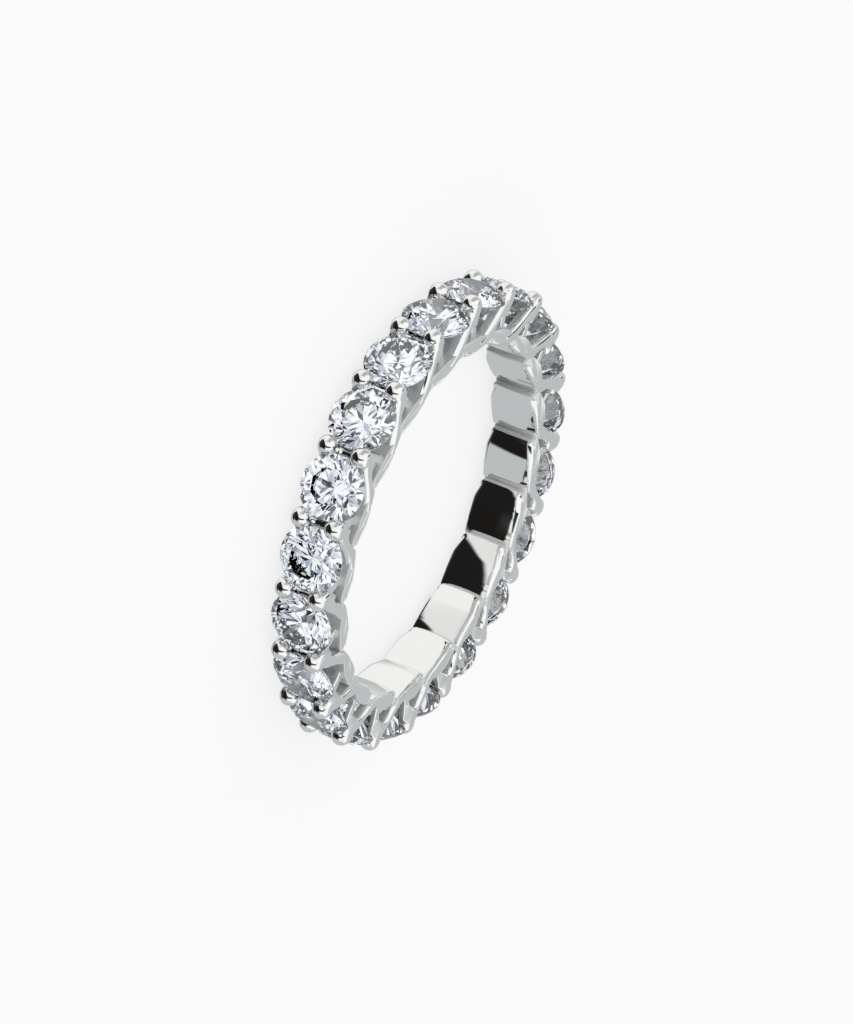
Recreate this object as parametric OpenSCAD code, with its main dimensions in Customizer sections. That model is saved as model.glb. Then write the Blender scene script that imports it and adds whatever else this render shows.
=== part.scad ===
// Eternity ring: twenty round brilliant stones held by shared prongs in one open metal band.
// The ring lies on its side: its axis is +Z, and the lower edges of the stones touch z = 0.
// All sizes are in millimetres, all angles in degrees.

/* [Stones] */
// Girdle diameter of one stone
stone_d = 3.05; // [2.7:0.05:3.5]
// Table width as a share of the girdle diameter
table_share = 0.56; // [0.5:0.01:0.62]
// Slope of the crown facets
crown_deg = 34.5; // [31:0.5:37]
// Slope of the pavilion facets
pavilion_deg = 40.75; // [39:0.25:42]
// Thickness of the girdle
girdle_t = 0.09; // [0.05:0.01:0.15]
// Free distance between the girdles of two neighbours
stone_gap = 0.23; // [0.18:0.01:0.35]
// Clearance between a stone and its metal seat
seat_gap = 0.03; // [0.02:0.005:0.05]

/* [Band] */
// Width of the metal band between its two side faces
band_w = 2.45; // [2.2:0.05:2.7]
// Thickness of one side wall along the ring axis
wall_t = 0.475; // [0.4:0.025:0.6]
// Thickness of a base leaf under the culet of its stone
leaf_t = 0.48; // [0.3:0.02:0.6]
// Distance from the culet down to the base leaf
culet_gap = 0.12; // [0.06:0.02:0.3]
// How far the tip of a leaf reaches below the middle of the leaf
leaf_drop = 0.28; // [0.15:0.01:0.35]
// How far the tip of a leaf stands back from the side face
leaf_step = 0.08; // [0.04:0.01:0.2]
// Corner radius of a leaf tip, seen from the finger
tip_round = 0.26; // [0.1:0.02:0.4]

/* [Prongs] */
// Diameter of the round bead on a prong
bead_d = 0.9; // [0.8:0.02:0.98]
// Distance between the two bead rows, centre to centre
bead_rows = 1.66; // [1.5:0.02:1.8]
// Height of the bead centres above the girdle plane
bead_lift = 0.29; // [0.24:0.01:0.36]
// Diameter of the prong below its bead
prong_d = 0.74; // [0.6:0.02:0.78]
// Width of the bridge between the two prongs of a gap
bridge_w = 0.6; // [0.4:0.05:0.7]

/* [Hidden] */
$fn = 48;
metal = [0.84, 0.84, 0.86];
gem = [0.93, 0.95, 0.98];
stone_count = 20;
pitch = 360 / stone_count;
// The first stone faces -Y, so the nearest prongs stand half a pitch beside it
first = -90 - pitch / 2;
stone_r = stone_d / 2;
table_r = stone_r * table_share;
crown_h = (stone_r - table_r) * tan(crown_deg);
pav_h = stone_r * tan(pavilion_deg);
// Radius of the girdle planes that leaves the stated gap between two girdles
girdle_r = (stone_gap / 2 + stone_r * cos(pitch / 2)) / sin(pitch / 2);
bead_r = girdle_r + bead_lift;
culet_r = girdle_r - girdle_t / 2 - pav_h;
leaf_top = culet_r - culet_gap;
leaf_low = leaf_top - leaf_t;
deep = girdle_r - leaf_low;
// The ring rests on the lower girdle edges of its stones
axis_z = stone_r;
// The rounded top of a side wall stands just under the bead
lobe_r = 0.95 * bead_d / 2;
lobe_mid = bead_r - 0.1 * bead_d;
curve_n = 5;

// Radius of a point in the side view: 0 is the underside of a leaf, 1 the girdle plane
function rad(q) = leaf_low + q * deep;
// Side view point: u counts stones along the ring, from one pair of prongs to the next
function at(k, u, r) = r * [cos(first + pitch * (k + u)), sin(first + pitch * (k + u))];
function bez(a, b, c, d, t) = pow(1 - t, 3) * a + 3 * t * pow(1 - t, 2) * b
                            + 3 * t * t * (1 - t) * c + pow(t, 3) * d;
// Points of a curve from a to short of d, with u and radius as coordinates
function curve(a, b, c, d, n = curve_n, to = 1) = [for (i = [0:n - 1]) bez(a, b, c, d, to * i / n)];
function place(k, line) = [for (p = line) at(k, p[0], p[1])];

// Rounded top of the wall at prong k, walked from its left foot over to its right foot
function lobe(k) = [for (a = [-105:15:105])
    let (m = first + pitch * k) lobe_mid * [cos(m), sin(m)] + lobe_r * [cos(m + a), sin(m + a)]];
foot_u = lobe_r / (lobe_mid * pitch * PI / 180);

// Pointed window above the strap of one stone, open to the outside
notch = concat(
    [for (i = [1:curve_n]) bez([foot_u, rad(1.07)], [0.27, rad(0.96)], [0.37, rad(0.41)],
                               [0.5, rad(0.38)], i / curve_n)],
    [for (i = [1:curve_n - 1]) bez([0.5, rad(0.38)], [0.62, rad(0.37)], [0.72, rad(0.85)],
                                   [1 - foot_u, rad(1.07)], i / curve_n)]);

// Underside of a leaf, from the cusp to the lowest point near its tip
cusp = [0.31, leaf_low + 0.75 * leaf_drop];
low = [1.0, leaf_low - leaf_drop];
leaf_under = curve(cusp, [0.45, leaf_low + 0.05], [0.75, low[1] + 0.02], low, 8);
// The tip rises as a flat slope with a small round at its end
tip_end = [1.345, low[1] + 0.42];
leaf_tip = concat([low], curve([1.28, low[1] + 0.14], [1.325, low[1] + 0.16],
                               [tip_end[0], low[1] + 0.24], tip_end, 4));

// Inner edge of one cell of the side wall: leaf start, small window, strap of the next prong
wall_in = concat(
    [for (i = [0:4]) leaf_under[i]],
    [[0.70, leaf_low + 0.25], [0.74, leaf_low + 0.45]],
    curve([0.745, rad(0.27)], [0.74, rad(0.46)], [0.88, rad(0.6)], [0.985, rad(0.765)]),
    [for (i = [0:6]) bez([0.985, rad(0.765)], [1.06, rad(0.82)], [1.2, rad(0.54)],
                         [1 + cusp[0], cusp[1]], i / 7)]);

outer_line = [for (k = [0:stone_count - 1]) each concat(lobe(k), place(k, notch))];
inner_line = [for (k = [0:stone_count - 1]) each place(k, wall_in)];

// Side view of one base leaf
leaf_line = concat(leaf_under, leaf_tip,
    [[1.40, leaf_low + 0.32], [1.30, leaf_top - 0.02], [1.1, leaf_top - 0.06],
     [0.8, leaf_top - 0.06], [0.5, leaf_top], [0.4, leaf_top + 0.03], [0.285, leaf_top + 0.1]]);

module side_wall() {
    linear_extrude(wall_t)
        polygon(concat(outer_line, inner_line),
                [[for (i = [0:len(outer_line) - 1]) i],
                 [for (i = [0:len(inner_line) - 1]) len(outer_line) + i]]);
}

// One leaf: full band width at its start, narrower towards its rounded tip
leaf_mid = 0.8;
module leaf(k) {
    half = band_w / 2;
    tip = half - leaf_step;
    // Distances along the ring from the middle of the leaf: its start, its narrowing and its tip
    start = -0.8 * stone_d;
    taper = -0.16 * stone_d;
    end = tip_end[1] * sin(pitch * (tip_end[0] - leaf_mid));
    side = concat([[start, half], [taper, half]],
                  [for (a = [0:22.5:90]) [end - tip_round * (1 - sin(a)), tip - tip_round * (1 - cos(a))]],
                  [[end + tip_round, tip - tip_round]]);
    intersection() {
        translate([0, 0, -half])
            linear_extrude(band_w) polygon(place(k, leaf_line));
        rotate([0, 0, first + pitch * (k + leaf_mid)]) rotate([90, 0, 90])
            linear_extrude(girdle_r)
                polygon(concat(side, [for (i = [len(side) - 1:-1:0]) [side[i][0], -side[i][1]]]));
    }
}

// Two prongs with their beads, and the bridge that joins them
module prong_pair(k) {
    foot = rad(0.72);
    rotate([0, 0, first + pitch * k]) {
        intersection() {
            for (s = [-1, 1]) translate([0, 0, s * bead_rows / 2]) {
                translate([foot, 0, 0]) rotate([0, 90, 0]) cylinder(d = prong_d, h = bead_r - foot);
                translate([bead_r, 0, 0]) sphere(d = bead_d);
            }
            // Prongs and beads end flush with the side faces
            translate([foot, -bead_d, -band_w / 2])
                cube([bead_r + bead_d - foot, 2 * bead_d, band_w]);
        }
        translate([rad(0.76), -bridge_w / 2, -bead_rows / 2])
            cube([girdle_r - 0.02 - rad(0.76), bridge_w, bead_rows]);
    }
}

// Corner points of the cut: the star points of the crown and the lower break of the pavilion
mid_cos = cos(22.5);
star_r = (table_r * mid_cos + stone_r) / 2;
star_z = girdle_t / 2 + (stone_r - star_r * mid_cos) * tan(crown_deg);
break_r = 0.22 * stone_r;
break_z = -girdle_t / 2 - (stone_r - break_r * mid_cos) * tan(pavilion_deg);
top_z = girdle_t / 2 + crown_h;
low_z = -girdle_t / 2 - pav_h;

// Puts a stone, or the tool that cuts its seat, at its place on the ring
module stone_place(k) {
    rotate([0, 0, first + pitch * (k + 0.5)]) translate([girdle_r, 0, 0]) rotate([0, 90, 0]) children();
}

// Turned tool that clears the seat of one stone
module seat_tool() {
    g = seat_gap;
    rotate_extrude()
        polygon([[0, low_z - 1.5 * g], [break_r + g, break_z - g], [stone_r + g, -girdle_t / 2 - 0.6 * g],
                 [stone_r + g, girdle_t / 2 + 0.6 * g], [star_r + g, star_z + g],
                 [table_r + g, top_z + g], [0, top_z + g]]);
}

function ring8(r, z, turn) = [for (i = [0:7]) [r * cos(45 * i + turn), r * sin(45 * i + turn), z]];
function ring16(r, z) = [for (i = [0:15]) [r * cos(22.5 * i), r * sin(22.5 * i), z]];

// Round brilliant: table, stars, kites, girdle, lower halves and mains down to the culet
module brilliant() {
    points = concat(ring8(table_r, top_z, 0), ring8(star_r, star_z, 22.5),
                    ring16(stone_r, girdle_t / 2), ring16(stone_r, -girdle_t / 2),
                    ring8(break_r, break_z, 22.5), [[0, 0, low_z]]);
    s = 8;
    g = 16;
    h = 32;
    b = 48;
    polyhedron(points, concat(
        [[7, 6, 5, 4, 3, 2, 1, 0]],
        [for (i = [0:7]) [i, (i + 1) % 8, s + i]],
        [for (i = [0:7]) [i, s + i, g + 2 * i, s + (i + 7) % 8]],
        [for (i = [0:7]) [s + i, g + 2 * i + 1, g + 2 * i]],
        [for (i = [0:7]) [s + i, g + (2 * i + 2) % 16, g + 2 * i + 1]],
        [for (i = [0:15]) [g + i, g + (i + 1) % 16, h + (i + 1) % 16, h + i]],
        [for (i = [0:7]) [b + i, h + 2 * i, h + 2 * i + 1]],
        [for (i = [0:7]) [b + i, h + 2 * i + 1, h + (2 * i + 2) % 16]],
        [for (i = [0:7]) [56, b + (i + 7) % 8, h + 2 * i, b + i]]));
}

module stone(k) {
    color(gem) translate([0, 0, axis_z]) stone_place(k) brilliant();
}

// All soldered metal: two pierced side walls, base leaves, prongs, beads and bridges
module setting() {
    color(metal) translate([0, 0, axis_z]) difference() {
        union() {
            translate([0, 0, band_w / 2 - wall_t]) side_wall();
            translate([0, 0, -band_w / 2]) side_wall();
            for (k = [0:stone_count - 1]) leaf(k);
            for (k = [0:stone_count - 1]) prong_pair(k);
        }
        for (k = [0:stone_count - 1]) stone_place(k) seat_tool();
    }
}

module stone_01() { stone(0); }
module stone_02() { stone(1); }
module stone_03() { stone(2); }
module stone_04() { stone(3); }
module stone_05() { stone(4); }
module stone_06() { stone(5); }
module stone_07() { stone(6); }
module stone_08() { stone(7); }
module stone_09() { stone(8); }
module stone_10() { stone(9); }
module stone_11() { stone(10); }
module stone_12() { stone(11); }
module stone_13() { stone(12); }
module stone_14() { stone(13); }
module stone_15() { stone(14); }
module stone_16() { stone(15); }
module stone_17() { stone(16); }
module stone_18() { stone(17); }
module stone_19() { stone(18); }
module stone_20() { stone(19); }

setting();
stone_01();
stone_02();
stone_03();
stone_04();
stone_05();
stone_06();
stone_07();
stone_08();
stone_09();
stone_10();
stone_11();
stone_12();
stone_13();
stone_14();
stone_15();
stone_16();
stone_17();
stone_18();
stone_19();
stone_20();
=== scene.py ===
"""Looks of an eternity ring: pierced band, round claws, twenty brilliants and a pale floor."""
import math
from collections import namedtuple

import bmesh
import bpy
from bpy.props import FloatProperty, FloatVectorProperty, IntProperty, PointerProperty
from mathutils import Matrix, Quaternion, Vector
from mathutils.geometry import tessellate_polygon


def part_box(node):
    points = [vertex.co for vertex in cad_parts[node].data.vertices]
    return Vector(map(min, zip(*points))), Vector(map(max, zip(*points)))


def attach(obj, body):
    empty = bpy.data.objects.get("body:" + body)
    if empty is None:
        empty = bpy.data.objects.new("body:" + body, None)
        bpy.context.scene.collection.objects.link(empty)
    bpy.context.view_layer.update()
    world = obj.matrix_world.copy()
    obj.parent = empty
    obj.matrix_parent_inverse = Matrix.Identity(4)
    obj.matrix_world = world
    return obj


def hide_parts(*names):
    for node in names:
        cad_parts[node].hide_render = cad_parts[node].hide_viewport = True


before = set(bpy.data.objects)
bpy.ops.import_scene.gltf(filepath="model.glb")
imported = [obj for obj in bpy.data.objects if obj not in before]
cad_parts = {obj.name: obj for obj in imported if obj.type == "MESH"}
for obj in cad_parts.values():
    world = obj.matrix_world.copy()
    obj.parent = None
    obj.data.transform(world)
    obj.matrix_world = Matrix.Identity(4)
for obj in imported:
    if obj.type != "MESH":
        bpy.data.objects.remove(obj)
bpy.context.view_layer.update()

bl_info = {
    "name": "Eternity ring",
    "version": (1, 0, 0),
    "blender": (4, 5, 0),
    "location": "3D View > Sidebar > Ring",
    "description": "Builds the polished band, claws, brilliants and studio of an eternity ring",
    "category": "Object",
}

MM = 0.001
BODY = "root"
STONE_NODES = sorted(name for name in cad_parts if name.startswith("stone_"))
COUNT = len(STONE_NODES)
PITCH = math.tau / COUNT
# The first stone faces -Y, and the claws of gap 0 stand half a pitch before it
FIRST = -math.pi / 2 - PITCH / 2
METAL_LOW, METAL_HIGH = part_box("setting")
AXIS_Z = (METAL_LOW.z + METAL_HIGH.z) / 2
# Edges that turn more than this keep their crease
SHARP = math.radians(40)
# Points closer than this are one point, within a cell and where two cells meet
CELL_WELD, SEAM_WELD = 0.0002 * MM, 0.0005 * MM


def length(name, description, default, **more):
    return FloatProperty(name=name, description=description, default=default,
                         subtype="DISTANCE", unit="LENGTH", precision=5, **more)


def colour(name, description, default):
    return FloatVectorProperty(name=name, description=description, default=default,
                               subtype="COLOR", size=3, min=0.0, max=1.0)


class BandSizes(bpy.types.PropertyGroup):
    width: length("Width", "Distance between the two side faces", 2.45 * MM)
    wall: length("Wall", "Thickness of a side wall along the axis", 0.475 * MM)
    leaf: length("Leaf", "Thickness of a base leaf under the culet", 0.48 * MM)
    culet_gap: length("Culet gap", "Free space between a culet and its leaf", 0.12 * MM)
    leaf_drop: length("Leaf drop", "How far a leaf tip reaches below the leaf's middle", 0.28 * MM)
    leaf_step: length("Leaf step", "How far a leaf tip stands back from the side face", 0.11 * MM)
    tip_round: length("Tip round", "Corner radius of a leaf tip, seen from the finger", 0.26 * MM)
    edge: length("Outer edge", "Depth of the soft edge of a side face beside the stones", 0.18 * MM)
    rim: length("Window edge", "Radius of a side face's edge round a small window", 0.16 * MM)
    recess: length("Recess", "How far a rising strap stands behind the side face", 0.24 * MM)
    leaf_edge: length("Leaf edge", "Radius of a leaf's side edges at its tip", 0.3 * MM)
    crown: length("Crown", "How far a leaf stands proud in the middle of its width", 0.1 * MM)


class ClawSizes(bpy.types.PropertyGroup):
    bead: length("Bead", "Diameter of the round bead", 0.9 * MM)
    rows: length("Rows", "Distance between the two rows of beads", 1.66 * MM)
    lift: length("Lift", "Height of the bead centres above the girdles", 0.29 * MM)
    shank: length("Shank", "Diameter of the claw below its bead", 0.74 * MM)
    bridge: length("Bridge", "Width of the bar between two claws", 0.6 * MM)


class StoneSizes(bpy.types.PropertyGroup):
    diameter: length("Diameter", "Girdle diameter of a brilliant", 3.05 * MM)
    gap: length("Gap", "Free distance between two girdles", 0.23 * MM)
    girdle: length("Girdle", "Greatest thickness of the girdle", 0.09 * MM)
    table: FloatProperty(name="Table", description="Table width over girdle diameter",
                         default=0.56, min=0.5, max=0.62)
    crown: FloatProperty(name="Crown", description="Slope of the crown mains",
                         default=math.radians(34.5), subtype="ANGLE", unit="ROTATION")
    pavilion: FloatProperty(name="Pavilion", description="Slope of the pavilion mains",
                            default=math.radians(40.75), subtype="ANGLE", unit="ROTATION")
    seed: IntProperty(name="Seed", description="Chooses how each stone is turned in its seat",
                      default=7)


class Finish(bpy.types.PropertyGroup):
    metal: colour("Metal", "Colour of the polished white gold", (0.93, 0.93, 0.915))
    # The inner colour is a darker copy of the polished metal's colour: painted shade on the faces
    # marked inside, the window walls, the steps of the side face and the leaf tops and ends. Their
    # higher roughness is the real satin finish.
    inner: colour("Inner metal", "Colour of the metal inside the windows", (0.86, 0.87, 0.87))
    stone: colour("Stone", "Colour of the brilliants", (0.985, 0.99, 1.0))
    floor: colour("Floor", "Colour of the floor", (0.18, 0.18, 0.18))
    glow: FloatProperty(name="Glow", description="Light that comes up through the floor",
                        default=0.785, min=0.0, max=1.0)
    polish: FloatProperty(name="Polish", description="Roughness of the polished metal",
                          default=0.045, min=0.0, max=1.0)
    satin: FloatProperty(name="Satin", description="Roughness of the metal inside the windows",
                         default=0.6, min=0.0, max=1.0)


class Studio(bpy.types.PropertyGroup):
    azimuth: FloatProperty(name="Azimuth", description="Heading of the view, from +Y towards +X",
                           default=math.radians(2.49), subtype="ANGLE", unit="ROTATION")
    elevation: FloatProperty(name="Elevation",
                             description="Height of the camera above the ring's plane",
                             default=math.radians(22.4), subtype="ANGLE", unit="ROTATION")
    roll: FloatProperty(name="Roll", description="Turn of the camera about its own view",
                        default=math.radians(111.29), subtype="ANGLE", unit="ROTATION")
    distance: length("Distance", "Distance from the camera to the middle of the ring", 307.7 * MM)
    lens: FloatProperty(name="Lens", description="Focal length in millimetres on the 36 mm side",
                        default=242.0, unit="CAMERA")
    floor_size: length("Floor", "Side of the square floor", 3.0)


# The wall carries each bead on a round lobe: its size and how far it sits below the bead, both
# over the bead's diameter, and how far it reaches to either side, in stones
LOBE_SIZE, LOBE_DROP, LOBE_REACH = 0.95, 0.1, 0.12
# Middle of a stone along the ring, in stones from the claws before it
MID_STONE = 0.5


class RingShape:
    """Radii of the ring, worked out from the panel's sizes. A side view point is (u, radius):
    u counts stones along the ring, from one pair of claws to the next."""

    def __init__(self, scene):
        band, claw, stone = scene.ring_band, scene.ring_claw, scene.ring_stone
        self.stone_r = stone.diameter / 2
        self.table_r = self.stone_r * stone.table
        half = PITCH / 2
        self.girdle_r = (stone.gap / 2 + self.stone_r * math.cos(half)) / math.sin(half)
        self.bead_r = self.girdle_r + claw.lift
        culet = self.girdle_r - stone.girdle / 2 - self.stone_r * math.tan(stone.pavilion)
        self.leaf_top = culet - band.culet_gap
        self.leaf_low = self.leaf_top - band.leaf
        self.tip_low = self.leaf_low - band.leaf_drop
        self.under = leaf_underside(self.tip_low)
        self.cusp_r = self.under[0].y
        self.half = band.width / 2
        self.lobe_r = LOBE_SIZE * claw.bead / 2
        self.lobe_mid = self.bead_r - LOBE_DROP * claw.bead
        # Half the lobe's width, in stones
        self.lobe_half = self.lobe_r / (self.lobe_mid * PITCH)

    def rad(self, share):
        """Radius at a share of the depth from the leaf's underside (0) to the girdles (1)."""
        return self.leaf_low + share * (self.girdle_r - self.leaf_low)

    def knots(self, table):
        """Side view points of a table that gives each one's u and share of the depth."""
        return [(u, self.rad(share)) for u, share in table]


def bezier(knots, count):
    """Points of one cubic curve, both ends included."""
    a, b, c, d = (Vector(k) for k in knots)
    points = []
    for i in range(count + 1):
        t = i / count
        s = 1 - t
        points.append(s ** 3 * a + 3 * s * s * t * b + 3 * s * t * t * c + t ** 3 * d)
    return points


# Slope of a leaf's underside in degrees, outwards positive, at places along the ring
LEAF_START = 0.3
LEAF_SLOPES = ((LEAF_START, -29), (0.4, -25), (0.5, -17), (0.7, -11.5), (0.9, -5), (0.97, 0),
               (1.15, 10), (1.31, 19))


def leaf_underside(lowest):
    """Underside of a leaf from its start to its tip, added up from its slopes to curve evenly."""
    step, count = 0.02, 51
    points, height = [], 0.0
    for i in range(count):
        u = LEAF_START + step * i
        points.append(Vector((u, height)))
        for (u0, slope0), (u1, slope1) in zip(LEAF_SLOPES, LEAF_SLOPES[1:]):
            if u0 <= u < u1:
                slope = slope0 + (slope1 - slope0) * (u - u0) / (u1 - u0)
        height += math.tan(math.radians(slope)) * step * PITCH * lowest
    base = min(p.y for p in points)
    return [Vector((p.x, p.y - base + lowest)) for p in points]


def moved(points, u):
    return [Vector((p[0] + u, p[1])) for p in points]


# Knots of a wall's curves give u and share of the depth: the low point where two straps meet, the
# head of the small window, and the share at which a lobe starts
STRAPS_MEET = (0.68, 0.2)
WINDOW_HEAD = (1.01, 0.64)
LOBE_FOOT = 1.07
# Stretches that each curve is cut into
FALL_STEPS, RISE_STEPS, LOBE_STEPS, LEFT_STEPS, RIGHT_STEPS, TIP_STEPS = 24, 18, 18, 12, 16, 8


def outer_line(shape):
    """Outer edge of a side wall from the middle of one stone to the middle of the next."""
    rise = shape.knots([STRAPS_MEET, (0.8, 0.24), (0.85, 0.66), (1 - shape.lobe_half, LOBE_FOOT)])
    fall = shape.knots([(shape.lobe_half, LOBE_FOOT), (0.25, 0.9), (0.35, 0.42), STRAPS_MEET])
    lobe = []
    for i in range(1, LOBE_STEPS):
        a = math.radians(-90 + 180 * i / LOBE_STEPS)
        x = shape.lobe_mid + shape.lobe_r * math.cos(a)
        y = shape.lobe_r * math.sin(a)
        lobe.append(Vector((1 + math.atan2(y, x) / PITCH, math.hypot(x, y))))
    strap = bezier(fall, FALL_STEPS)
    start = [p for p in strap if p.x > MID_STONE]
    end = moved([p for p in strap if p.x < MID_STONE], 1)
    share = (MID_STONE - end[-1].x + 1) / (start[0].x - end[-1].x + 1)
    middle = Vector((MID_STONE, end[-1].y + (start[0].y - end[-1].y) * share))
    return [middle] + start[:-1] + bezier(rise, RISE_STEPS) + lobe + end + moved([middle], 1)


def wall_line(shape):
    """Inner edge of a side wall from the middle of one stone to the next: along a leaf's
    underside, across the leaf, round the small window and on under the next leaf. Names the
    stretch of each point."""
    # The edge leaves the underside at the crossing; the slack tells two neighbour points apart
    crossing, slack = 0.63, 0.01
    start = [p for p in shape.under if MID_STONE - slack < p.x < crossing]
    across = [Vector((u, shape.leaf_low + rise * MM)) for u, rise in ((0.8, 0.25), (0.89, 0.42))]
    left = shape.knots([(0.92, 0.26), (0.93, 0.42), (0.96, 0.56), WINDOW_HEAD])
    right = shape.knots([WINDOW_HEAD, (1.07, 0.71), (1.19, 0.54)]) + [(1.3, shape.cusp_r)]
    window = bezier(left, LEFT_STEPS) + bezier(right, RIGHT_STEPS)[1:-1]
    end = moved([p for p in shape.under if p.x < MID_STONE + slack], 1)
    names = (["finger"] * len(start) + ["leaf"] * len(across) + ["window"] * len(window)
             + ["finger"] * len(end))
    return start + across + window + end, names


# End of a leaf from the tip of its underside, in stones along the ring and mm outwards: four knots
# of a curve, then the corner under the top
TIP_END = ((0.0, 0.0), (0.03, 0.03), (0.055, 0.08), (0.05, 0.18), (0.045, 0.3))
# Top of a leaf from its end to its start: u and height in mm over the leaf's top radius
LEAF_TOP = ((1.4, -0.16), (1.3, -0.02), (1.15, 0.08), (0.95, 0.15), (0.8, 0.16), (0.65, 0.1),
            (0.5, 0.0), (0.4, 0.03), (0.275, 0.1))


def leaf_line(shape):
    """Side view of a base leaf, closed: underside, end of the tip and top. Names the stretch of
    each point."""
    tip = shape.under[-1]
    marks = [Vector((tip.x + along, tip.y + out * MM)) for along, out in TIP_END]
    end = bezier(marks[:4], TIP_STEPS)[1:] + marks[4:]
    top = [Vector((u, shape.leaf_top + rise * MM)) for u, rise in LEAF_TOP]
    names = ["finger"] * (len(shape.under) - 1) + ["end"] * (len(end) + 1) + ["top"] * len(top)
    return shape.under + end + top, names


def flat(points):
    """Side view points as x and y, seen along the axis."""
    return [Vector((p[1] * math.cos(FIRST + PITCH * p[0]), p[1] * math.sin(FIRST + PITCH * p[0])))
            for p in points]


def turned(p, angle):
    return Vector((p.x * math.cos(angle) - p.y * math.sin(angle),
                   p.x * math.sin(angle) + p.y * math.cos(angle)))


# The least divisor of an offset at a corner, which keeps a sharp corner from running out
MITRE = 0.6


def slopes(line, closed):
    """Direction in which each point of a line moves when the line is offset to its left."""
    if closed:
        before, after = line[-1:] + line[:-1], line[1:] + line[:1]
    else:
        before = [turned(line[-2], -PITCH)] + line[:-1]
        after = line[1:] + [turned(line[1], PITCH)]
    result = []
    for a, p, b in zip(before, line, after):
        first = (p - a).normalized()
        second = (b - p).normalized()
        n = Vector((-first.y - second.y, first.x + second.x))
        scale = 1 / max(MITRE, 1 + first.dot(second))
        result.append(n * scale)
    return result


def as_mesh(bm, name):
    """Hands a shape over as a mesh, with its faces turned outwards."""
    bmesh.ops.recalc_face_normals(bm, faces=bm.faces)
    mesh = bpy.data.meshes.new(name)
    bm.to_mesh(mesh)
    bm.free()
    return mesh


class Shell:
    """Collects rows of points and joins them into the faces of one closed mesh."""

    def __init__(self):
        self.bm = bmesh.new()
        self.inside = self.bm.faces.layers.bool.new("inside")

    def row(self, points, z):
        """Adds a row of points at one height over the ring's middle plane, or each at its own."""
        heights = z if isinstance(z, list) else [z] * len(points)
        return [self.bm.verts.new((p.x, p.y, AXIS_Z + h)) for p, h in zip(points, heights)]

    def strip(self, rows, hidden, closed=False):
        """Joins rows into faces; hidden tells for each place in a row if its faces lie inside."""
        for low, high in zip(rows, rows[1:]):
            for i in range(len(low) - (0 if closed else 1)):
                j = (i + 1) % len(low)
                self.bm.faces.new((low[i], low[j], high[j], high[i]))[self.inside] = hidden[i]

    def fill(self, loop, hidden):
        """Fills a loop of points with triangles."""
        for tri in tessellate_polygon([[Vector((v.co.x, v.co.y, 0)) for v in loop]]):
            self.bm.faces.new([loop[i] for i in tri])[self.inside] = hidden

    def mesh(self, name):
        bmesh.ops.remove_doubles(self.bm, verts=self.bm.verts, dist=CELL_WELD)
        return as_mesh(self.bm, name)


def rounding(radius, steps):
    """Depth below a side face and inset from its edge along a quarter round, from face to edge."""
    quarter = math.pi / 2
    return [(radius * (1 - math.sin(quarter * (1 - i / steps))),
             radius * (1 - math.cos(quarter * (1 - i / steps)))) for i in range(steps + 1)]


def eased(values):
    """Values along a line with their jumps spread over a few points."""
    reach = 2
    near = [values[max(0, i - reach):i + reach + 1] for i in range(len(values))]
    return [sum(group) / len(group) for group in near]


def offset(line, shift, amounts):
    return [p + d * a for p, d, a in zip(line, shift, amounts)]


def clamped(value):
    return max(0.0, min(1.0, value))


# Steps of a rounded edge, and radius and steps of the edge on a wall's hidden side
EDGE_STEPS = 7
BACK_EDGE, BACK_STEPS = 0.05 * MM, 2
# Stretch of the rising strap along the ring, and shares of the depth where it ends on the outer
# and on the inner edge
STRAP_START, STRAP_END = 0.69, 1.02
STRAP_TOPS = (0.96, 0.63)
# How much of the named edges a rising strap takes, and how far the outer edges turn in
STRAP_EDGE, OUTER_TURN = 0.3, 1.3


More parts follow.
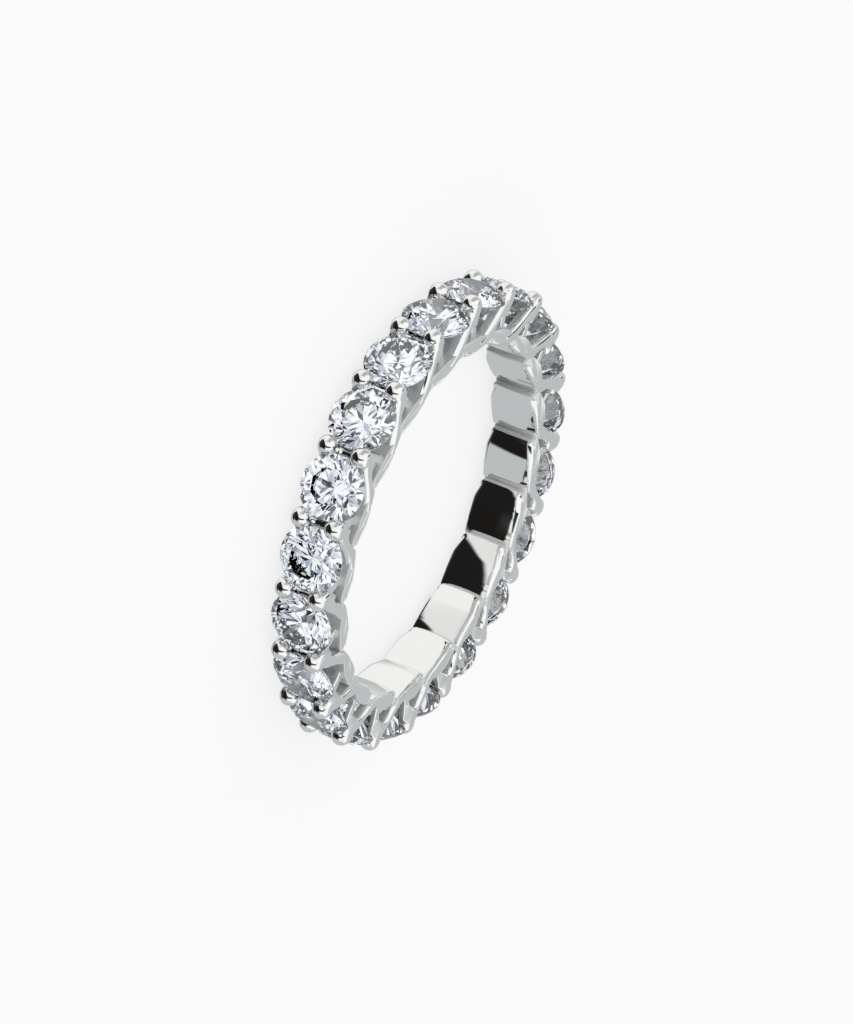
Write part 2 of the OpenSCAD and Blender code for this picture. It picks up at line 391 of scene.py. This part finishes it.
def wall_cell(scene):
    """One stone's length of both side walls, with the small window between two straps, open at
    its ends. The rising strap stands behind the side face; beads and falling straps are flush."""
    band = scene.ring_band
    shape = RingShape(scene)
    half = shape.half
    outer_points = outer_line(shape)
    inner_points, names = wall_line(shape)
    outer, inner = flat(outer_points), flat(inner_points)
    outer_in, inner_in = slopes(outer, False), slopes(inner, False)
    # The wall's edge stays inside the leaf along the finger and stands proud where it crosses it
    sink = eased([band.leaf / 2 if name == "finger" else 0.0 for name in names])
    bend = eased([1.0 if name == "window" else 0.0 for name in names])
    # Faces marked here take the satin metal: its roughness is the real satin finish, its darker
    # colour is painted shade.
    outer_satin_shaded = [abs(p[0] - 1) > LOBE_REACH for p in outer_points]
    inner_satin_shaded = [True] * len(names)
    outer_sunk, inner_sunk = (
        [band.recess * (STRAP_START < p[0] < STRAP_END and p[1] < shape.rad(top)) for p in line]
        for line, top in zip((outer_points, inner_points), STRAP_TOPS))
    # Places on both edges where the side face steps back or forth
    cuts = list(zip(*([i + 1 for i in range(len(line) - 1) if line[i] != line[i + 1]]
                      for line in (outer_sunk, inner_sunk))))
    back = [(half - band.wall + depth, inset)
            for depth, inset in rounding(BACK_EDGE, BACK_STEPS)[::-1]]

    def heights(side, depth, sunk_line):
        return [side * (half - (STRAP_EDGE if sunk else 1) * depth - sunk) for sunk in sunk_line]

    shell = Shell()
    for side in (1, -1):
        outer_rows, inner_rows = [], []
        for depth, inset in rounding(band.edge, EDGE_STEPS):
            amounts = [inset * (STRAP_EDGE if sunk else OUTER_TURN) for sunk in outer_sunk]
            outer_rows.append(shell.row(offset(outer, outer_in, amounts),
                                        heights(side, depth, outer_sunk)))
        for z, inset in back:
            amounts = [inset] * len(outer)
            outer_rows.append(shell.row(offset(outer, outer_in, amounts), side * z))
        for depth, inset in rounding(band.rim, EDGE_STEPS):
            amounts = [-inset * b * (STRAP_EDGE if sunk else 1) - deep
                       for b, deep, sunk in zip(bend, sink, inner_sunk)]
            inner_rows.append(shell.row(offset(inner, inner_in, amounts),
                                        heights(side, depth, inner_sunk)))
        for z, inset in back:
            amounts = [-inset - deep for deep in sink]
            inner_rows.append(shell.row(offset(inner, inner_in, amounts), side * z))
        for line_rows, satin in ((outer_rows, outer_satin_shaded), (inner_rows, inner_satin_shaded)):
            edge = len(line_rows) - len(back)
            shell.strip(line_rows[:edge], [False] * len(satin))
            shell.strip(line_rows[edge - 1:], satin)
        # The side face in stretches between its steps, then the steps, then the hidden side
        far, near = outer_rows[0], inner_rows[0]
        for (i, j), (k, m) in zip([(0, 0)] + cuts, cuts + [(len(far), len(near))]):
            shell.fill(far[i:k] + near[j:m][::-1], False)
        for i, j in cuts:
            shell.fill(far[i - 1:i + 1] + near[j - 1:j + 1][::-1], True)
        shell.fill(outer_rows[-1] + inner_rows[-1][::-1], True)
    return shell.mesh("wall_cell")


# A leaf narrows towards its tip from this place and over this length, in stones
NARROW_FROM, NARROW_OVER = 0.95, 0.3
# Radius of a leaf's edges over that at its tip: along the top, and at its start and end
TOP_SOFT, END_SOFT = 0.15, 0.25
# How far a leaf's edges turn in over their radius, and steps across its width
LEAF_TURN = 0.6
WIDTH_STEPS = 32


def leaf_cell(scene):
    """One base leaf, crowned against the finger, with soft edges and rounded corners at its tip."""
    band = scene.ring_band
    shape = RingShape(scene)
    points, names = leaf_line(shape)
    inwards = slopes(flat(points), True)
    reach = max(p.x for p, name in zip(points, names) if name == "end") - 1
    tip_length = reach * PITCH * shape.tip_low
    # The side face lies just behind the wall's at the start of the leaf, just before it along the
    # window, and stands back from it at the tip
    behind, before, change = -0.006 * MM, 0.004 * MM, 0.55
    widths, radii = [], []
    for p, name in zip(points, names):
        proud = behind if p.x < change else before
        narrowing = clamped((p.x - NARROW_FROM) / NARROW_OVER)
        widths.append(shape.half + proud - band.leaf_step * narrowing)
        along = END_SOFT + (1 - END_SOFT) * clamped(p.x - LEAF_START)
        radii.append(band.leaf_edge * {"top": TOP_SOFT, "end": END_SOFT, "finger": along}[name])
    soft = [(1.0, inset, depth) for depth, inset in rounding(1.0, EDGE_STEPS)]
    inside = [(math.cos(math.pi * i / WIDTH_STEPS), 0.0, 1.0) for i in range(1, WIDTH_STEPS)]
    rows = soft + inside + [(-share, inset, depth) for share, inset, depth in soft[::-1]]
    shell = Shell()
    made = []
    for share, inset, depth in rows:
        placed, heights = [], []
        for p, name, width, radius, way in zip(points, names, widths, eased(radii), inwards):
            z = share * (width - depth * radius)
            edge = clamped((abs(z) - (width - band.tip_round)) / band.tip_round)
            back = band.tip_round * (1 - math.sqrt(1 - edge ** 2))
            u = p.x if p.x <= 1 else 1 + (p.x - 1) * (1 - back / tip_length)
            crown = band.crown * (z / width) ** 2 if name != "top" else 0.0
            placed.append(flat([(u, p.y)])[0] - way * (LEAF_TURN * inset * radius + crown))
            heights.append(z)
        made.append(shell.row(placed, heights))
    # The leaf's top and end take the satin metal, whose darker colour is painted shade.
    shell.strip(made, [name != "finger" for name in names], closed=True)
    shell.fill(made[0], False)
    shell.fill(made[-1], False)
    return shell.mesh("leaf_cell")


def spun(bm, profile, steps, matrix):
    """Closed body of revolution about local z: profile holds (radius, height), ends on the axis."""
    rings = []
    for radius, height in profile:
        angles = [math.tau * i / steps for i in range(steps if radius else 1)]
        rings.append([bm.verts.new(matrix @ Vector((radius * math.cos(a), radius * math.sin(a),
                                                    height))) for a in angles])
    for low, high in zip(rings, rings[1:]):
        for i in range(steps):
            j = (i + 1) % steps
            corners = [low[i % len(low)], low[j % len(low)],
                       high[j % len(high)], high[i % len(high)]]
            bm.faces.new(list(dict.fromkeys(corners)))


# Share of the depth where a claw's foot lies, softness of its corners, and steps of its outline
CLAW_FOOT = 0.86
CLAW_SOFT = 0.03 * MM
BEAD_STEPS, CLAW_SIDES = 18, 40
# How far a bead ends behind the side face, and a shank behind the rising strap
BEAD_BACK, SHANK_BACK = 0.015 * MM, 0.02 * MM


def claw_pair(scene):
    """Two claws of one gap: a round shank, a soft neck and a bead flush with the side face."""
    claw = scene.ring_claw
    shape = RingShape(scene)
    foot, soft = shape.rad(CLAW_FOOT), CLAW_SOFT
    bead, shank = claw.bead / 2, claw.shank / 2
    neck = shape.bead_r - math.sqrt(bead ** 2 - shank ** 2)
    profile = [(0, foot), (shank - soft, foot), (shank, foot + soft), (shank, neck - soft)]
    low = math.asin(shank / bead)
    for i in range(1, BEAD_STEPS):
        a = low + (math.pi - low) * i / BEAD_STEPS
        profile.append((bead * math.sin(a), shape.bead_r - bead * math.cos(a)))
    profile.append((0, shape.bead_r + bead))
    bm = bmesh.new()
    for side in (1, -1):
        place = Matrix.Translation((0, 0, side * claw.rows / 2))
        spun(bm, profile, CLAW_SIDES, place @ Matrix.Rotation(math.pi / 2, 4, "Y"))
    bead_end = shape.half - BEAD_BACK
    shank_end = shape.half - scene.ring_band.recess - SHANK_BACK
    for v in bm.verts:
        limit = bead_end if v.co.x > neck else shank_end
        v.co.z = max(-limit, min(limit, v.co.z))
    return ring_placed(bm, "claw_pair")


# Share of the depth where a bridge starts, how far it ends below the girdles, and its soft edges
BRIDGE_FOOT = 0.76
BRIDGE_DROP = 0.02 * MM
BRIDGE_EDGE, BRIDGE_STEPS = 0.07 * MM, 3


def bridge_bar(scene):
    """Rounded bar that joins the two claws of a gap below the girdles."""
    claw = scene.ring_claw
    shape = RingShape(scene)
    low, high = shape.rad(BRIDGE_FOOT), shape.girdle_r - BRIDGE_DROP
    bm = bmesh.new()
    bmesh.ops.create_cube(bm, size=1.0)
    for v in bm.verts:
        v.co = Vector(((low + high) / 2 + v.co.x * (high - low),
                       v.co.y * claw.bridge, v.co.z * claw.rows))
    long_edges = [e for e in bm.edges if e.verts[0].co.z * e.verts[1].co.z < 0]
    bmesh.ops.bevel(bm, geom=long_edges, offset=BRIDGE_EDGE, segments=BRIDGE_STEPS, profile=0.5,
                    affect="EDGES")
    return ring_placed(bm, "bridge_bar")


def ring_placed(bm, name):
    """Puts a shape built along +X about the ring's axis at gap 0, and makes it a mesh."""
    place = Matrix.Translation((0, 0, AXIS_Z)) @ Matrix.Rotation(FIRST, 4, "Z")
    bmesh.ops.transform(bm, matrix=place, verts=bm.verts)
    return as_mesh(bm, name)


# Radius where the lower halves of a brilliant end over its own, and steps of a half facet's edge
BREAK_SIZE = 0.22
GIRDLE_STEPS = 4


def brilliant(scene):
    """Round brilliant with its girdle plane at z = 0: table, stars, kites, halves and mains."""
    stone = scene.ring_stone
    shape = RingShape(scene)
    radius, table_r, half = shape.stone_r, shape.table_r, stone.girdle / 2
    crown, pavilion = math.tan(stone.crown), math.tan(stone.pavilion)
    eighth = math.pi / 8
    star_r = (table_r * math.cos(eighth) + radius) / 2
    break_r = BREAK_SIZE * radius

    def ring(r, z, turn):
        angles = [turn + 2 * eighth * i for i in range(8)]
        return [Vector((r * math.cos(a), r * math.sin(a), z)) for a in angles]

    table = ring(table_r, half + (radius - table_r) * crown, 0)
    star = ring(star_r, half + (radius - star_r * math.cos(eighth)) * crown, eighth)
    lower = ring(break_r, -half - (radius - break_r * math.cos(eighth)) * pavilion, eighth)
    culet = Vector((0, 0, -half - radius * pavilion))

    def rim(side, sixteenth):
        """Edge of one half facet where its plane meets the round girdle."""
        apex = (star if side > 0 else lower)[sixteenth // 2]
        ends = [Vector((radius * math.cos(eighth * k), radius * math.sin(eighth * k), side * half))
                for k in (sixteenth, sixteenth + 1)]
        normal = (ends[0] - apex).cross(ends[1] - apex)
        points = []
        for i in range(GIRDLE_STEPS + 1):
            a = eighth * (sixteenth + i / GIRDLE_STEPS)
            x, y = radius * math.cos(a), radius * math.sin(a)
            z = apex.z - (normal.x * (x - apex.x) + normal.y * (y - apex.y)) / normal.z
            points.append(Vector((x, y, z)))
        return points

    bm = bmesh.new()
    frosted = bm.faces.layers.bool.new("girdle")

    def face(points, is_girdle=False):
        made = bm.faces.new([bm.verts.new(p) for p in points])
        made[frosted] = is_girdle

    face(table)
    for i in range(8):
        before = (i - 1) % 8
        face([table[i], star[i], table[(i + 1) % 8]])
        face([table[i], star[before], rim(1, 2 * i)[0], star[i]])
        face([culet, lower[i], rim(-1, 2 * i)[0], lower[before]])
    for k in range(16):
        high, low = rim(1, k), rim(-1, k)
        face([star[k // 2]] + high)
        face([lower[k // 2]] + low[::-1])
        for i in range(GIRDLE_STEPS):
            face([low[i], low[i + 1], high[i + 1], high[i]], True)
    bmesh.ops.remove_doubles(bm, verts=bm.verts, dist=CELL_WELD)
    return as_mesh(bm, "brilliant")


class Tree:
    """Small helper that adds nodes to a tree and joins them."""

    def __init__(self, tree):
        self.nodes = tree.nodes
        self.links = tree.links

    def add(self, kind, *inputs, named=None, **settings):
        """Adds a node with inputs in their order or by name: sockets are joined, values set."""
        node = self.nodes.new(kind)
        for key, value in settings.items():
            setattr(node, key, value)
        pairs = list(zip(node.inputs, inputs))
        pairs += [(node.inputs[key], value) for key, value in (named or {}).items()]
        for socket, value in pairs:
            if isinstance(value, bpy.types.NodeSocket):
                self.links.new(value, socket)
            else:
                socket.default_value = value
        return node

    def math(self, operation, *values):
        return self.add("ShaderNodeMath", *values, operation=operation).outputs[0]


def ring_tree(name, inputs):
    """Empty Geometry Nodes tree with named inputs."""
    tree = bpy.data.node_groups.new(name, "GeometryNodeTree")
    tree.is_modifier = True
    tree.interface.new_socket("Geometry", in_out="INPUT", socket_type="NodeSocketGeometry")
    tree.interface.new_socket("Geometry", in_out="OUTPUT", socket_type="NodeSocketGeometry")
    for label, kind in inputs:
        tree.interface.new_socket(label, in_out="INPUT", socket_type=kind)
    return tree


def copy_angle(t, count):
    """Angle of each copy round the ring, from the first."""
    share = t.math("DIVIDE", t.add("GeometryNodeInputIndex").outputs[0], count)
    return t.math("MULTIPLY", share, math.tau)


def rotation(t, x, y, z):
    angles = t.add("ShaderNodeCombineXYZ", x, y, z)
    return t.add("FunctionNodeEulerToRotation", angles.outputs[0]).outputs[0]


def copies(t, points, cell, turn):
    """One copy of a cell at every point, each with its own turn."""
    placed = t.add("GeometryNodeInstanceOnPoints",
                   named={"Points": points.outputs[0], "Instance": cell, "Rotation": turn})
    return t.add("GeometryNodeRealizeInstances", placed.outputs[0]).outputs[0]


def two_materials(t, geometry, first, second, mark):
    """Gives all faces the first material, then the second to faces that carry a mark."""
    base = t.add("GeometryNodeSetMaterial", named={"Geometry": geometry, "Material": first})
    marked = t.add("GeometryNodeInputNamedAttribute", data_type="BOOLEAN", named={"Name": mark})
    other = t.add("GeometryNodeSetMaterial", named={
        "Geometry": base.outputs[0], "Selection": marked.outputs["Attribute"],
        "Material": second})
    return other.outputs[0]


def copies_tree():
    """Turns copies of one cell about the ring's axis and welds them where they meet."""
    tree = ring_tree("Copies round the ring", [
        ("Count", "NodeSocketInt"), ("Weld", "NodeSocketFloat"),
        ("Metal", "NodeSocketMaterial"), ("Inside", "NodeSocketMaterial")])
    t = Tree(tree)
    given = t.add("NodeGroupInput").outputs
    points = t.add("GeometryNodePoints", given["Count"])
    turn = rotation(t, 0.0, 0.0, copy_angle(t, given["Count"]))
    weld = t.add("GeometryNodeMergeByDistance", named={
        "Geometry": copies(t, points, given["Geometry"], turn), "Distance": given["Weld"]})
    t.add("NodeGroupOutput",
          two_materials(t, weld.outputs[0], given["Metal"], given["Inside"], "inside"))
    return tree


def stones_tree():
    """Sets one brilliant in every seat, each turned by chance about its own axis."""
    tree = ring_tree("Stones round the ring", [
        ("Count", "NodeSocketInt"), ("Girdle radius", "NodeSocketFloat"),
        ("Height", "NodeSocketFloat"), ("Start", "NodeSocketFloat"), ("Seed", "NodeSocketInt"),
        ("Facets", "NodeSocketMaterial"), ("Girdle", "NodeSocketMaterial")])
    t = Tree(tree)
    given = t.add("NodeGroupInput").outputs
    angle = t.math("ADD", copy_angle(t, given["Count"]), given["Start"])
    seat = t.add("ShaderNodeCombineXYZ",
                 t.math("MULTIPLY", t.math("COSINE", angle), given["Girdle radius"]),
                 t.math("MULTIPLY", t.math("SINE", angle), given["Girdle radius"]),
                 given["Height"])
    points = t.add("GeometryNodePoints", given["Count"], seat.outputs[0])
    chance = t.add("FunctionNodeRandomValue", data_type="FLOAT",
                   named={"Max": math.tau / 8, "Seed": given["Seed"]})
    turn = t.add("FunctionNodeRotateRotation", rotation(t, 0.0, math.pi / 2, angle),
                 rotation(t, 0.0, 0.0, chance.outputs["Value"]), rotation_space="LOCAL")
    stones = copies(t, points, given["Geometry"], turn.outputs[0])
    t.add("NodeGroupOutput",
          two_materials(t, stones, given["Facets"], given["Girdle"], "girdle"))
    return tree


def grown(name, mesh, tree, values):
    """Runs a tree on a mesh and returns the result as a plain object at the origin."""
    seed = bpy.data.objects.new(name + "_cell", mesh)
    bpy.context.scene.collection.objects.link(seed)
    modifier = seed.modifiers.new("Nodes", "NODES")
    modifier.node_group = tree
    for item in tree.interface.items_tree:
        if item.in_out == "INPUT" and item.name in values:
            modifier[item.identifier] = values[item.name]
    evaluated = seed.evaluated_get(bpy.context.evaluated_depsgraph_get())
    result = bpy.data.meshes.new_from_object(evaluated)
    result.name = name
    bpy.data.objects.remove(seed)
    piece = bpy.data.objects.new(name, result)
    bpy.context.scene.collection.objects.link(piece)
    return piece


def faced_outwards(piece, smooth):
    """Turns a piece's faces outwards and marks the edges that keep their crease."""
    bm = bmesh.new()
    bm.from_mesh(piece.data)
    bmesh.ops.recalc_face_normals(bm, faces=bm.faces)
    for f in bm.faces:
        f.smooth = smooth
    for e in bm.edges:
        e.smooth = e.calc_face_angle(0) < SHARP
    bm.to_mesh(piece.data)
    bm.free()


def dressed_metal(piece):
    """Keeps flat faces flat while polished edges turn smoothly, and ties a piece to the setting."""
    faced_outwards(piece, True)
    modifier = piece.modifiers.new("Weighted normals", "WEIGHTED_NORMAL")
    modifier.mode = "FACE_AREA"
    modifier.weight = 80
    modifier.keep_sharp = True
    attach(piece, BODY)
    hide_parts("setting")


def new_material(name, viewport):
    material = bpy.data.materials.new(name)
    material.use_nodes = True
    material.node_tree.nodes.clear()
    material.diffuse_color = (*viewport, 1.0)
    return material, Tree(material.node_tree)


def surface(t, named):
    """Ends a material in one shader."""
    shader = t.add("ShaderNodeBsdfPrincipled", named=named)
    t.add("ShaderNodeOutputMaterial", shader.outputs[0])


def white_gold(name, tone, roughness):
    """White gold with faint hairlines and clouding; near mirror where a polishing wheel reaches."""
    material, t = new_material(name, tone)
    place = t.add("ShaderNodeTexCoord").outputs["Object"]
    cloud = t.add("ShaderNodeTexNoise", place, named={"Scale": 900.0, "Detail": 3.0})
    rough = t.add("ShaderNodeMapRange", named={
        "Value": cloud.outputs["Fac"], "To Min": 0.6 * roughness, "To Max": 1.5 * roughness})
    lines = t.add("ShaderNodeMapping", named={"Vector": place, "Scale": (1.0, 1.0, 14.0)})
    hair = t.add("ShaderNodeTexNoise", lines.outputs[0], named={"Scale": 2500.0, "Detail": 2.0})
    bump = t.add("ShaderNodeBump", named={
        "Strength": 0.02, "Distance": 0.01 * MM, "Height": hair.outputs["Fac"]})
    surface(t, {"Base Color": (*tone, 1.0), "Metallic": 1.0,
                "Roughness": rough.outputs[0], "Normal": bump.outputs[0]})
    return material


def diamond(finish, name, roughness):
    """Clear stone of high index; the girdle is ground and stays frosted."""
    material, t = new_material(name, finish.stone)
    surface(t, {"Base Color": (*finish.stone, 1.0), "Transmission Weight": 1.0, "IOR": 2.417,
                "Roughness": roughness})
    return material


# Places of the colour sockets on a mix node
MIX_BELOW, MIX_ABOVE, MIX_RESULT = 6, 7, 2


def pale_floor(finish):
    """Pale sheet lit partly from below, which keeps the shadow under the ring soft."""
    material, t = new_material("pale_floor", finish.floor)
    place = t.add("ShaderNodeTexCoord").outputs["Object"]
    grain = t.add("ShaderNodeTexNoise", place, named={"Scale": 60.0})
    tone = t.add("ShaderNodeMapRange", named={
        "Value": grain.outputs["Fac"], "To Min": 0.985, "To Max": 1.0})
    shade = t.add("ShaderNodeMix", data_type="RGBA", blend_type="MULTIPLY", named={
        "Factor": 1.0, MIX_BELOW: (*finish.floor, 1.0), MIX_ABOVE: tone.outputs[0]})
    surface(t, {"Base Color": shade.outputs[MIX_RESULT], "Roughness": 0.9,
                "Specular IOR Level": 0.0, "Emission Color": (1.0, 1.0, 1.0, 1.0),
                "Emission Strength": finish.glow})
    return material


# A card of the light tent: azimuth from +Y towards +X and elevation of its middle, half its width
# and height and the softness of its edge, all in degrees, then the fall of its middle per degree
# of azimuth, its brightness and its tint
Card = namedtuple("Card", "name azimuth elevation half_width half_height soft fall level tint")
MIRRORED_CARDS = (
    Card("white side wall", 245, 0, 72, 105, 14, 0.0, 0.93, (1.0, 1.0, 0.99)),
    Card("sheer curtain", 205, -20, 20, 105, 8, 0.0, 0.8, (1.0, 1.0, 1.0)),
    Card("roof", 182, 72, 181, 38, 8, 0.0, 1.0, (1.0, 1.0, 1.0)),
    Card("lower roof", 200, 60, 90, 50, 8, 0.0, 1.0, (1.0, 1.0, 1.0)),
    Card("dark gap by the camera", 148.5, -44, 23.5, 42, 2.5, 0.0, 0.012, (1.0, 0.9, 0.8)),
    Card("grey strip", -25, 43, 15, 9, 4, 0.0, 0.06, (1.0, 1.0, 1.0)),
    Card("grey gap over the side wall", 262, 13, 45, 17, 8, 0.0, 0.45, (1.0, 1.02, 1.03)),
    Card("slit over the gap", 156, 25, 10, 40, 3, 0.0, 0.03, (1.0, 1.0, 1.0)),
    Card("black foot", 200, -72.7, 48, 50, 2.5, 0.75, 0.012, (1.0, 1.0, 1.0)),
    Card("dark base", 170, -85, 78, 38, 6, 0.0, 0.03, (1.0, 1.0, 1.0)),
)
MIRRORED_BASE = (0.52, 0.545, 0.555)
STONE_CARDS = (
    Card("camera", 182, 22, 14, 12, 3, 0.0, 0.03, (0.8, 0.9, 1.0)),
    Card("left flag", 130, -5, 12, 40, 3, 0.0, 0.05, (0.7, 0.85, 1.2)),
    Card("right flag", 240, 5, 9, 50, 3, 0.0, 0.08, (0.7, 0.85, 1.2)),
    Card("top flag", 185, 66, 40, 9, 3, 0.0, 0.06, (0.8, 0.9, 1.1)),
    Card("blue fill left", 60, 20, 30, 30, 5, 0.0, 0.45, (0.8, 0.92, 1.15)),
    Card("blue fill right", 300, 15, 25, 30, 5, 0.0, 0.5, (0.85, 0.94, 1.12)),
)
# The tent round the stones is dappled with these two tones
STONE_BASE = (1.34, 1.36, 1.4)
STONE_SHADE = (0.55, 0.62, 0.76)
ROOM_LEVEL = 1.0


def card_mask(t, azimuth, elevation, card):
    """1 inside a card, 0 outside, with a soft edge."""
    apart = t.math("WRAP", t.math("SUBTRACT", azimuth, card.azimuth), 180.0, -180.0)
    sides = t.math("SUBTRACT", card.half_width, t.math("ABSOLUTE", apart))
    level = t.math("ADD", elevation, t.math("MULTIPLY", apart, card.fall))
    above = t.math("ABSOLUTE", t.math("SUBTRACT", level, card.elevation))
    ends = t.math("SUBTRACT", card.half_height, above)
    edge = t.add("ShaderNodeMapRange", interpolation_type="SMOOTHSTEP", named={
        "Value": t.math("MINIMUM", sides, ends), "From Min": -card.soft, "From Max": card.soft})
    return edge.outputs[0]


def hung(t, below, mask, shade, label):
    """Colour with a card of one shade before it."""
    mix = t.add("ShaderNodeMix", data_type="RGBA", label=label, named={
        "Factor": mask, MIX_BELOW: below, MIX_ABOVE: (*shade, 1.0)})
    return mix.outputs[MIX_RESULT]


def plain_colour(t, shade):
    result = t.add("ShaderNodeRGB").outputs[0]
    result.default_value = (*shade, 1.0)
    return result


def dappled(t, towards, base, shade):
    """One colour with soft patches of another."""
    patches = t.add("ShaderNodeTexNoise", towards, named={"Scale": 3.5, "Detail": 1.0})
    mask = t.add("ShaderNodeMapRange", named={
        "Value": patches.outputs["Fac"], "From Min": 0.47, "From Max": 0.62})
    return hung(t, plain_colour(t, base), mask.outputs[0], shade, "dapple")


def hung_cards(t, azimuth, elevation, base, cards):
    """A background colour with cards hung before it."""
    colour_now = base
    for card in cards:
        shade = [card.level * c for c in card.tint]
        mask = card_mask(t, azimuth, elevation, card)
        colour_now = hung(t, colour_now, mask, shade, card.name)
    return colour_now


def light_tent(scene):
    """Even white light on the floor, and a tent of pale and dark cards for what shines."""
    world = bpy.data.worlds.new("light_tent")
    world.use_nodes = True
    world.node_tree.nodes.clear()
    t = Tree(world.node_tree)
    towards = t.add("ShaderNodeTexCoord").outputs["Generated"]
    part = t.add("ShaderNodeSeparateXYZ", towards).outputs
    azimuth = t.math("DEGREES", t.math("ARCTAN2", part["X"], part["Y"]))
    elevation = t.math("DEGREES", t.math("ARCSINE", part["Z"]))
    tents = []
    for base, cards in ((plain_colour(t, MIRRORED_BASE), MIRRORED_CARDS),
                        (dappled(t, towards, STONE_BASE, STONE_SHADE), STONE_CARDS)):
        hanging = hung_cards(t, azimuth, elevation, base, cards)
        tents.append(t.add("ShaderNodeBackground", hanging, 1.0).outputs[0])
    room = t.add("ShaderNodeBackground", (1.0, 1.0, 1.0, 1.0), ROOM_LEVEL)
    path = t.add("ShaderNodeLightPath").outputs
    shining = t.add("ShaderNodeMixShader", path["Is Transmission Ray"], *tents)
    plain = t.math("MAXIMUM", path["Is Camera Ray"], path["Is Diffuse Ray"])
    both = t.add("ShaderNodeMixShader", plain, shining.outputs[0], room.outputs[0])
    t.add("ShaderNodeOutputWorld", both.outputs[0])
    scene.world = world


# Where the camera aims, from the middle of the ring
AIM = (-0.054 * MM, 0.091 * MM, 0.215 * MM)


def ring_camera(scene):
    """Camera at the photo's angle to the ring, above the floor and rolled as the photo is."""
    studio = scene.ring_studio
    a, e = studio.azimuth, studio.elevation
    view = Vector((math.sin(a) * math.cos(e), math.cos(a) * math.cos(e), -math.sin(e)))
    aim = Vector((AIM[0], AIM[1], AXIS_Z + AIM[2]))
    data = bpy.data.cameras.new("camera")
    data.sensor_fit = "AUTO"
    data.sensor_width = 36.0
    data.lens = studio.lens
    data.clip_start = 0.01
    data.clip_end = 20.0
    camera = bpy.data.objects.new("camera", data)
    camera.rotation_mode = "QUATERNION"
    camera.location = aim - view * studio.distance
    camera.rotation_quaternion = view.to_track_quat("-Z", "Y") @ Quaternion((0, 0, 1), studio.roll)
    scene.collection.objects.link(camera)
    scene.camera = camera


def square(name, side):
    bm = bmesh.new()
    bmesh.ops.create_grid(bm, x_segments=1, y_segments=1, size=side / 2)
    mesh = bpy.data.meshes.new(name)
    bm.to_mesh(mesh)
    bm.free()
    piece = bpy.data.objects.new(name, mesh)
    bpy.context.scene.collection.objects.link(piece)
    return piece


class RING_OT_band(bpy.types.Operator):
    """Build the pierced side walls and the overlapping base leaves"""
    bl_idname = "ring.band"
    bl_label = "Band"

    def execute(self, context):
        scene = context.scene
        finish = scene.ring_finish
        # The inside metal is rougher, which is the real satin finish, and darker, which is painted
        # shade.
        values = {"Count": COUNT, "Weld": SEAM_WELD,
                  "Metal": white_gold("polished_white_gold", finish.metal, finish.polish),
                  "Inside": white_gold("satin_shaded_white_gold", finish.inner, finish.satin)}
        tree = copies_tree()
        dressed_metal(grown("side_walls", wall_cell(scene), tree, values))
        dressed_metal(grown("base_leaves", leaf_cell(scene), tree, values))
        return {"FINISHED"}


class RING_OT_claws(bpy.types.Operator):
    """Build the claws with their beads, and the bars that join them"""
    bl_idname = "ring.claws"
    bl_label = "Claws"

    def execute(self, context):
        scene = context.scene
        tree = bpy.data.node_groups["Copies round the ring"]
        values = {"Count": COUNT, "Weld": 0.0, "Metal": bpy.data.materials["polished_white_gold"]}
        dressed_metal(grown("claws", claw_pair(scene), tree, values))
        dressed_metal(grown("bridges", bridge_bar(scene), tree, values))
        return {"FINISHED"}


class RING_OT_stones(bpy.types.Operator):
    """Cut the brilliants and set one in every seat"""
    bl_idname = "ring.stones"
    bl_label = "Brilliants"

    def execute(self, context):
        scene = context.scene
        finish = scene.ring_finish
        stones = grown("brilliants", brilliant(scene), stones_tree(), {
            "Count": COUNT, "Girdle radius": RingShape(scene).girdle_r, "Height": AXIS_Z,
            "Start": FIRST + PITCH / 2, "Seed": scene.ring_stone.seed,
            "Facets": diamond(finish, "diamond", 0.0),
            "Girdle": diamond(finish, "diamond_girdle", 0.3)})
        faced_outwards(stones, False)
        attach(stones, BODY)
        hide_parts(*STONE_NODES)
        return {"FINISHED"}


class RING_OT_stage(bpy.types.Operator):
    """Lay the floor, hang the light tent and set the camera"""
    bl_idname = "ring.stage"
    bl_label = "Stage"

    def execute(self, context):
        scene = context.scene
        floor = square("floor", scene.ring_studio.floor_size)
        floor.data.materials.append(pale_floor(scene.ring_finish))
        # Polished metal and stones mirror the light tent alone
        floor.visible_glossy = False
        floor.visible_transmission = False
        light_tent(scene)
        ring_camera(scene)
        scene.view_settings.view_transform = "Standard"
        return {"FINISHED"}


class RING_PT_panel(bpy.types.Panel):
    """Sizes, colours and build steps of the ring"""
    bl_idname = "RING_PT_panel"
    bl_label = "Eternity ring"
    bl_space_type = "VIEW_3D"
    bl_region_type = "UI"
    bl_category = "Ring"

    def draw(self, context):
        layout = self.layout
        for title, name, group in GROUPS:
            box = layout.box()
            box.label(text=title)
            settings = getattr(context.scene, name)
            for key in group.__annotations__:
                box.prop(settings, key)
        for step in STEPS:
            layout.operator(step.bl_idname)


GROUPS = (
    ("Band", "ring_band", BandSizes),
    ("Claws", "ring_claw", ClawSizes),
    ("Brilliants", "ring_stone", StoneSizes),
    ("Finish", "ring_finish", Finish),
    ("Studio", "ring_studio", Studio),
)
STEPS = (RING_OT_band, RING_OT_claws, RING_OT_stones, RING_OT_stage)


def register():
    for _, name, group in GROUPS:
        bpy.utils.register_class(group)
        setattr(bpy.types.Scene, name, PointerProperty(type=group))
    for cls in STEPS + (RING_PT_panel,):
        bpy.utils.register_class(cls)


def unregister():
    for cls in (RING_PT_panel,) + STEPS[::-1]:
        bpy.utils.unregister_class(cls)
    for _, name, group in GROUPS[::-1]:
        delattr(bpy.types.Scene, name)
        bpy.utils.unregister_class(group)


def main():
    register()
    bpy.ops.ring.stage()
    bpy.ops.ring.band()
    bpy.ops.ring.claws()
    bpy.ops.ring.stones()


if __name__ == "__main__":
    main()
